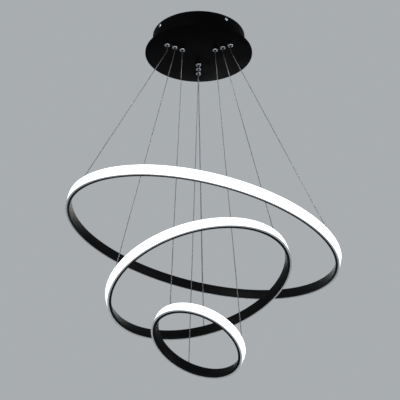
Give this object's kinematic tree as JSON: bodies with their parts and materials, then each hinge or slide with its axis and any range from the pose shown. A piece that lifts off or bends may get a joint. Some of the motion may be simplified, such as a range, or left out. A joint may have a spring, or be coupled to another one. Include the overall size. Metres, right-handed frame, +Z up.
{
  "type": "led ring chandelier",
  "caption": "Pendant light of three tilted luminous rings hung on thin wires from a round two-tier ceiling canopy with push-to-release cable grippers.",
  "frame": {"origin": "on the ceiling plane, at the middle of the bracket's fixing circle", "axes": "+Z up, so the light hangs to -Z; the row of grippers nearest +Y is the back row; -Y is the side seen in the picture"},
  "size_m": [0.5898, 0.6002, 0.8014],
  "materials": {
    "zinc_steel": "bright zinc-plated sheet steel",
    "canopy_black": "matte black powder coat on steel",
    "screw_chrome": "polished chrome plate",
    "driver_plastic": "white polycarbonate driver case",
    "block_plastic": "natural polyamide",
    "brass_screw": "plain brass",
    "gripper_chrome": "polished chrome plate on brass",
    "wire_steel": "stranded stainless steel wire",
    "ring_black": "matte black coating on extruded aluminium",
    "opal_diffuser": "opal white diffuser, lit",
    "strip_board": "white flexible circuit board with light-emitting chips"
  },
  "bodies": {
    "canopy": {"mounting_bracket": "zinc_steel", "canopy_drum": "canopy_black", "canopy_disc": "canopy_black", "drum_nuts": "zinc_steel", "driver_nuts": "zinc_steel", "earth_nut": "zinc_steel", "canopy_side_screws": "screw_chrome", "led_driver": "driver_plastic", "terminal_block": "block_plastic", "terminal_screws": "brass_screw", "gripper_bodies": "gripper_chrome", "gripper_nuts": "gripper_chrome", "wire_tails": "wire_steel"},
    "large_back_plunger_body": {"large_back_plunger": "gripper_chrome"},
    "large_left_plunger_body": {"large_left_plunger": "gripper_chrome"},
    "large_right_plunger_body": {"large_right_plunger": "gripper_chrome"},
    "middle_back_plunger_body": {"middle_back_plunger": "gripper_chrome"},
    "middle_left_plunger_body": {"middle_left_plunger": "gripper_chrome"},
    "middle_right_plunger_body": {"middle_right_plunger": "gripper_chrome"},
    "small_back_plunger_body": {"small_back_plunger": "gripper_chrome"},
    "small_left_plunger_body": {"small_left_plunger": "gripper_chrome"},
    "small_right_plunger_body": {"small_right_plunger": "gripper_chrome"},
    "large_ring": {"large_ring_profile": "ring_black", "large_ring_diffuser": "opal_diffuser", "large_led_strip": "strip_board", "large_ring_joiner": "zinc_steel", "large_wire_anchors": "gripper_chrome", "large_back_wire": "wire_steel", "large_left_wire": "wire_steel", "large_right_wire": "wire_steel"},
    "middle_ring": {"middle_ring_profile": "ring_black", "middle_ring_diffuser": "opal_diffuser", "middle_led_strip": "strip_board", "middle_ring_joiner": "zinc_steel", "middle_wire_anchors": "gripper_chrome", "middle_back_wire": "wire_steel", "middle_left_wire": "wire_steel", "middle_right_wire": "wire_steel"},
    "small_ring": {"small_ring_profile": "ring_black", "small_ring_diffuser": "opal_diffuser", "small_led_strip": "strip_board", "small_ring_joiner": "zinc_steel", "small_wire_anchors": "gripper_chrome", "small_back_wire": "wire_steel", "small_left_wire": "wire_steel", "small_right_wire": "wire_steel"}
  },
  "joints": [
    {"name": "large_ring_lift", "type": "slide", "parent": "canopy", "child": "large_ring", "axis": [0, 0, 1], "range_m": [0, 0.2], "deforming": ["large_back_wire", "large_left_wire", "large_right_wire"]},
    {"name": "middle_ring_lift", "type": "slide", "parent": "canopy", "child": "middle_ring", "axis": [0, 0, 1], "range_m": [0, 0.18], "deforming": ["middle_back_wire", "middle_left_wire", "middle_right_wire"]},
    {"name": "small_ring_lift", "type": "slide", "parent": "canopy", "child": "small_ring", "axis": [0, 0, 1], "range_m": [0, 0.3], "deforming": ["small_back_wire", "small_left_wire", "small_right_wire"]},
    {"name": "large_back_plunger_push", "type": "slide", "parent": "canopy", "child": "large_back_plunger_body", "axis": [0, 0, 1], "range_m": [0, 0.002], "stiffness_N_per_m": 150, "springref_m": -0.005},
    {"name": "large_left_plunger_push", "type": "slide", "parent": "canopy", "child": "large_left_plunger_body", "axis": [0, 0, 1], "range_m": [0, 0.002], "stiffness_N_per_m": 150, "springref_m": -0.005},
    {"name": "large_right_plunger_push", "type": "slide", "parent": "canopy", "child": "large_right_plunger_body", "axis": [0, 0, 1], "range_m": [0, 0.002], "stiffness_N_per_m": 150, "springref_m": -0.005},
    {"name": "middle_back_plunger_push", "type": "slide", "parent": "canopy", "child": "middle_back_plunger_body", "axis": [0, 0, 1], "range_m": [0, 0.002], "stiffness_N_per_m": 150, "springref_m": -0.005},
    {"name": "middle_left_plunger_push", "type": "slide", "parent": "canopy", "child": "middle_left_plunger_body", "axis": [0, 0, 1], "range_m": [0, 0.002], "stiffness_N_per_m": 150, "springref_m": -0.005},
    {"name": "middle_right_plunger_push", "type": "slide", "parent": "canopy", "child": "middle_right_plunger_body", "axis": [0, 0, 1], "range_m": [0, 0.002], "stiffness_N_per_m": 150, "springref_m": -0.005},
    {"name": "small_back_plunger_push", "type": "slide", "parent": "canopy", "child": "small_back_plunger_body", "axis": [0, 0, 1], "range_m": [0, 0.002], "stiffness_N_per_m": 150, "springref_m": -0.005},
    {"name": "small_left_plunger_push", "type": "slide", "parent": "canopy", "child": "small_left_plunger_body", "axis": [0, 0, 1], "range_m": [0, 0.002], "stiffness_N_per_m": 150, "springref_m": -0.005},
    {"name": "small_right_plunger_push", "type": "slide", "parent": "canopy", "child": "small_right_plunger_body", "axis": [0, 0, 1], "range_m": [0, 0.002], "stiffness_N_per_m": 150, "springref_m": -0.005}
  ]
}
